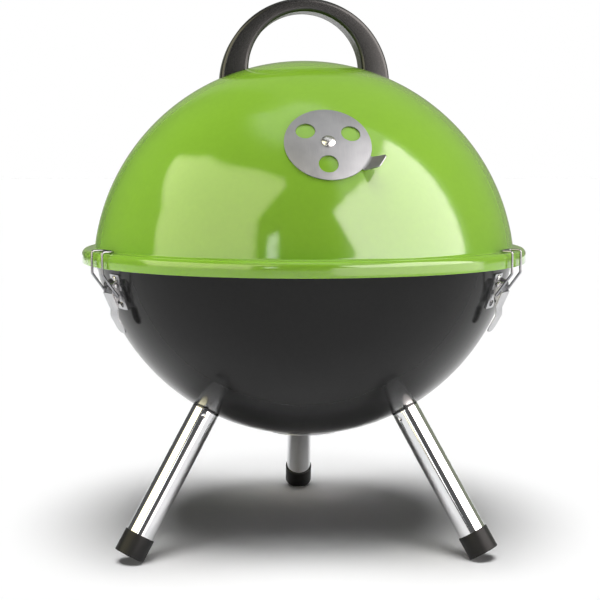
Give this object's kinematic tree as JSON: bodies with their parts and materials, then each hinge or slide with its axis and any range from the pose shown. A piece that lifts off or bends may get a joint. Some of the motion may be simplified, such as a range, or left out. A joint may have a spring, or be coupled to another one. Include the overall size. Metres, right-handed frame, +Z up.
{
  "type": "kettle charcoal grill",
  "caption": "Spherical kettle charcoal grill on splayed tube legs, with a flanged dome lid, turning vent discs, arch handle, toggle latches and lift-out wire grates.",
  "frame": {"origin": "on the floor under the kettle's vertical axis", "axes": "+Z up along the kettle's axis; -Y towards the front, where the lid's vent is; +X to the right"},
  "size_m": [0.355, 0.3581, 0.4341],
  "materials": {
    "lid_enamel": "gloss apple-green enamel on steel",
    "bowl_enamel": "satin-gloss black enamel on steel",
    "handle_phenolic": "satin black moulded phenolic",
    "leg_chrome": "bright chrome plate on steel tube",
    "foot_plastic": "satin black moulded plastic",
    "plug_nylon": "natural nylon",
    "damper_steel": "brushed stainless sheet",
    "rivet_aluminium": "bright aluminium",
    "latch_nickel": "satin nickel plate on steel sheet",
    "bail_wire": "bright nickel-plated wire",
    "zinc_steel": "zinc-plated steel",
    "grate_chrome": "chrome-plated steel wire"
  },
  "bodies": {
    "kettle": {"bowl_shell": "bowl_enamel", "leg_tube_rear": "leg_chrome", "leg_tube_left": "leg_chrome", "leg_tube_right": "leg_chrome", "leg_plug_rear": "plug_nylon", "leg_plug_left": "plug_nylon", "leg_plug_right": "plug_nylon", "foot_cap_rear": "foot_plastic", "foot_cap_left": "foot_plastic", "foot_cap_right": "foot_plastic", "leg_bolts": "zinc_steel", "leg_washers": "zinc_steel", "latch_base_rear": "latch_nickel", "latch_base_left": "latch_nickel", "latch_base_right": "latch_nickel", "latch_pin_rear": "latch_nickel", "latch_pin_left": "latch_nickel", "latch_pin_right": "latch_nickel", "latch_rivets": "rivet_aluminium", "grate_bracket_rear": "zinc_steel", "grate_bracket_left": "zinc_steel", "grate_bracket_right": "zinc_steel", "bottom_vent_rivet": "rivet_aluminium"},
    "lid": {"lid_shell": "lid_enamel", "lid_handle": "handle_phenolic", "handle_screws": "zinc_steel", "handle_washers": "zinc_steel", "lid_vent_rivet": "rivet_aluminium"},
    "lid_damper": {"lid_damper": "damper_steel"},
    "bottom_damper": {"bottom_damper": "damper_steel"},
    "cooking_grate": {"cooking_grate": "grate_chrome"},
    "charcoal_grate": {"charcoal_grate": "grate_chrome"},
    "lever_rear": {"latch_lever_rear": "latch_nickel"},
    "bail_rear": {"latch_bail_rear": "bail_wire"},
    "lever_left": {"latch_lever_left": "latch_nickel"},
    "bail_left": {"latch_bail_left": "bail_wire"},
    "lever_right": {"latch_lever_right": "latch_nickel"},
    "bail_right": {"latch_bail_right": "bail_wire"}
  },
  "joints": [
    {"name": "lid_lift", "type": "slide", "parent": "kettle", "child": "lid", "axis": [0, 0, 1], "range_m": [0, 0.25]},
    {"name": "lid_damper_turn", "type": "hinge", "parent": "lid", "child": "lid_damper", "pos_m": [0.01267, -0.13402, 0.31868], "axis": [0.075, -0.793, 0.6046], "continuous": true},
    {"name": "bottom_damper_turn", "type": "hinge", "parent": "kettle", "child": "bottom_damper", "pos_m": [0, 0, 0.086], "axis": [0, 0, -1], "continuous": true},
    {"name": "cooking_grate_lift", "type": "slide", "parent": "kettle", "child": "cooking_grate", "axis": [0, 0, 1], "range_m": [0, 0.02]},
    {"name": "charcoal_grate_lift", "type": "slide", "parent": "kettle", "child": "charcoal_grate", "axis": [0, 0, 1], "range_m": [0, 0.06]},
    {"name": "latch_rear_lever", "type": "hinge", "parent": "kettle", "child": "lever_rear", "pos_m": [0, 0.1684, 0.21452], "axis": [1, 0, 0], "range_deg": [0, 100]},
    {"name": "latch_rear_bail", "type": "hinge", "parent": "lever_rear", "child": "bail_rear", "pos_m": [0, 0.16751, 0.20651], "axis": [1, 0, 0], "range_deg": [-131, 0]},
    {"name": "latch_left_lever", "type": "hinge", "parent": "kettle", "child": "lever_left", "pos_m": [-0.14584, -0.0842, 0.21452], "axis": [-0.5, 0.866, 0], "range_deg": [0, 100]},
    {"name": "latch_left_bail", "type": "hinge", "parent": "lever_left", "child": "bail_left", "pos_m": [-0.14506, -0.08375, 0.20651], "axis": [-0.5, 0.866, 0], "range_deg": [-131, 0]},
    {"name": "latch_right_lever", "type": "hinge", "parent": "kettle", "child": "lever_right", "pos_m": [0.14584, -0.0842, 0.21452], "axis": [-0.5, -0.866, 0], "range_deg": [0, 100]},
    {"name": "latch_right_bail", "type": "hinge", "parent": "lever_right", "child": "bail_right", "pos_m": [0.14506, -0.08375, 0.20651], "axis": [-0.5, -0.866, 0], "range_deg": [-131, 0]}
  ],
  "couplings": [
    {"joint": "latch_rear_bail", "follows": "latch_rear_lever", "ratio": -1.3},
    {"joint": "latch_left_bail", "follows": "latch_left_lever", "ratio": -1.3},
    {"joint": "latch_right_bail", "follows": "latch_right_lever", "ratio": -1.3}
  ]
}
